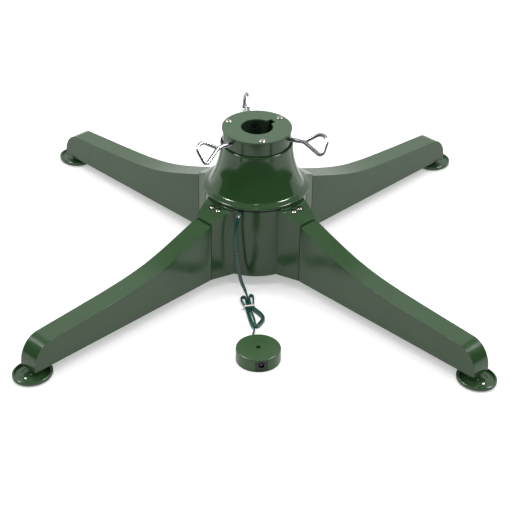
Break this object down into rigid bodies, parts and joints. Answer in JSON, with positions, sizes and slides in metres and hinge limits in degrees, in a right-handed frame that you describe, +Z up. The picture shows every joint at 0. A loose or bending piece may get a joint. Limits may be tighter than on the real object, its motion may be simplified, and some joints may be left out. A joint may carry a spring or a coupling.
{
  "type": "rotating christmas tree stand",
  "caption": "Motorised stand: curved plug-in legs on a round hub, a bell cover, and a turning pole socket with eye screws; a thin lead runs to a round floor control box.",
  "frame": {"origin": "on the floor below the axis of the pole socket", "axes": "+Z up along the pole; the cord and the control box are towards -Y; the legs point between the axes"},
  "size_m": [0.574, 0.574, 0.2025],
  "materials": {
    "green_plastic": "glossy dark green moulded plastic",
    "dark_plastic": "plain dark green moulded plastic",
    "painted_plate": "satin green paint on sheet steel",
    "painted_tube": "dark green paint on steel tube",
    "sheet_steel": "plain formed steel",
    "hard_steel": "ground or rolled steel",
    "zinc": "bright zinc plating",
    "black_steel": "blackened steel",
    "brass": "machined brass",
    "white_nylon": "white nylon",
    "black_rubber": "black rubber",
    "black_plastic": "black moulded plastic",
    "circuit_board": "green circuit board",
    "cord_vinyl": "dark green vinyl insulation",
    "white_tie": "white coated twist tie"
  },
  "bodies": {
    "base": {"hub_housing": "green_plastic", "bottom_cover": "dark_plastic", "deck_plate": "sheet_steel", "case_screws": "hard_steel", "leg_front_left": "green_plastic", "leg_front_right": "green_plastic", "leg_rear_left": "green_plastic", "leg_rear_right": "green_plastic", "foot_front_left": "green_plastic", "foot_front_right": "green_plastic", "foot_rear_left": "green_plastic", "foot_rear_right": "green_plastic", "pad_front_left": "black_rubber", "pad_front_right": "black_rubber", "pad_rear_left": "black_rubber", "pad_rear_right": "black_rubber", "leg_screws": "zinc", "foot_screws": "hard_steel", "bell_cover": "green_plastic", "bearing_tower": "sheet_steel", "upper_bushing": "white_nylon", "lower_bushing": "white_nylon", "lower_race": "hard_steel", "gearbox": "sheet_steel", "motor_can": "zinc", "gearbox_screws": "hard_steel", "cord_grommet": "black_rubber", "motor_lead": "cord_vinyl", "cord_fall": "cord_vinyl", "cord_hank": "cord_vinyl", "cord_tie": "white_tie", "cord_tail": "cord_vinyl", "control_bushing": "black_rubber", "control_base": "dark_plastic", "control_cover": "green_plastic", "control_board": "circuit_board", "control_screw": "hard_steel", "dc_jack": "black_plastic", "jack_pin": "hard_steel"},
    "rotor": {"pole_socket": "painted_tube", "retaining_ring": "sheet_steel", "clamp_drum": "green_plastic", "top_plate": "painted_plate", "plate_screws": "zinc", "clamp_nuts": "hard_steel", "upper_race": "hard_steel", "ring_gear": "white_nylon", "gear_set_screws": "black_steel"},
    "ball_set": {"ball_cage": "brass", "bearing_balls": "hard_steel"},
    "pinion": {"drive_pinion": "brass", "motor_shaft": "hard_steel"},
    "cap_1": {"tip_cap_1": "zinc"},
    "screw_1": {"eye_screw_1": "zinc"},
    "cap_2": {"tip_cap_2": "zinc"},
    "screw_2": {"eye_screw_2": "zinc"},
    "cap_3": {"tip_cap_3": "zinc"},
    "screw_3": {"eye_screw_3": "zinc"}
  },
  "joints": [
    {"name": "rotor_spin", "type": "hinge", "parent": "base", "child": "rotor", "pos_m": [0, 0, 0.16], "axis": [0, 0, 1], "continuous": true},
    {"name": "ball_set_spin", "type": "hinge", "parent": "base", "child": "ball_set", "pos_m": [0, 0, 0.16], "axis": [0, 0, 1], "continuous": true},
    {"name": "pinion_spin", "type": "hinge", "parent": "base", "child": "pinion", "pos_m": [0, 0.036, 0.088], "axis": [0, 0, 1], "continuous": true},
    {"name": "cap_1_slide", "type": "slide", "parent": "rotor", "child": "cap_1", "axis": [-0.9397, 0.342, 0], "range_m": [0, 0.01201]},
    {"name": "screw_1_turn", "type": "hinge", "parent": "cap_1", "child": "screw_1", "pos_m": [0.04698, -0.0171, 0.187], "axis": [-0.9397, 0.342, 0], "range_deg": [0, 4320]},
    {"name": "cap_2_slide", "type": "slide", "parent": "rotor", "child": "cap_2", "axis": [0.1736, -0.9848, 0], "range_m": [0, 0.01201]},
    {"name": "screw_2_turn", "type": "hinge", "parent": "cap_2", "child": "screw_2", "pos_m": [-0.00868, 0.04924, 0.187], "axis": [0.1736, -0.9848, 0], "range_deg": [0, 4320]},
    {"name": "cap_3_slide", "type": "slide", "parent": "rotor", "child": "cap_3", "axis": [0.766, 0.6428, 0], "range_m": [0, 0.01201]},
    {"name": "screw_3_turn", "type": "hinge", "parent": "cap_3", "child": "screw_3", "pos_m": [-0.0383, -0.03214, 0.187], "axis": [0.766, 0.6428, 0], "range_deg": [0, 4320]}
  ],
  "couplings": [
    {"joint": "ball_set_spin", "follows": "rotor_spin", "ratio": 0.5},
    {"joint": "pinion_spin", "follows": "rotor_spin", "ratio": -5},
    {"joint": "cap_1_slide", "follows": "screw_1_turn", "m_per_rad": 0.00015915},
    {"joint": "cap_2_slide", "follows": "screw_2_turn", "m_per_rad": 0.00015915},
    {"joint": "cap_3_slide", "follows": "screw_3_turn", "m_per_rad": 0.00015915}
  ]
}
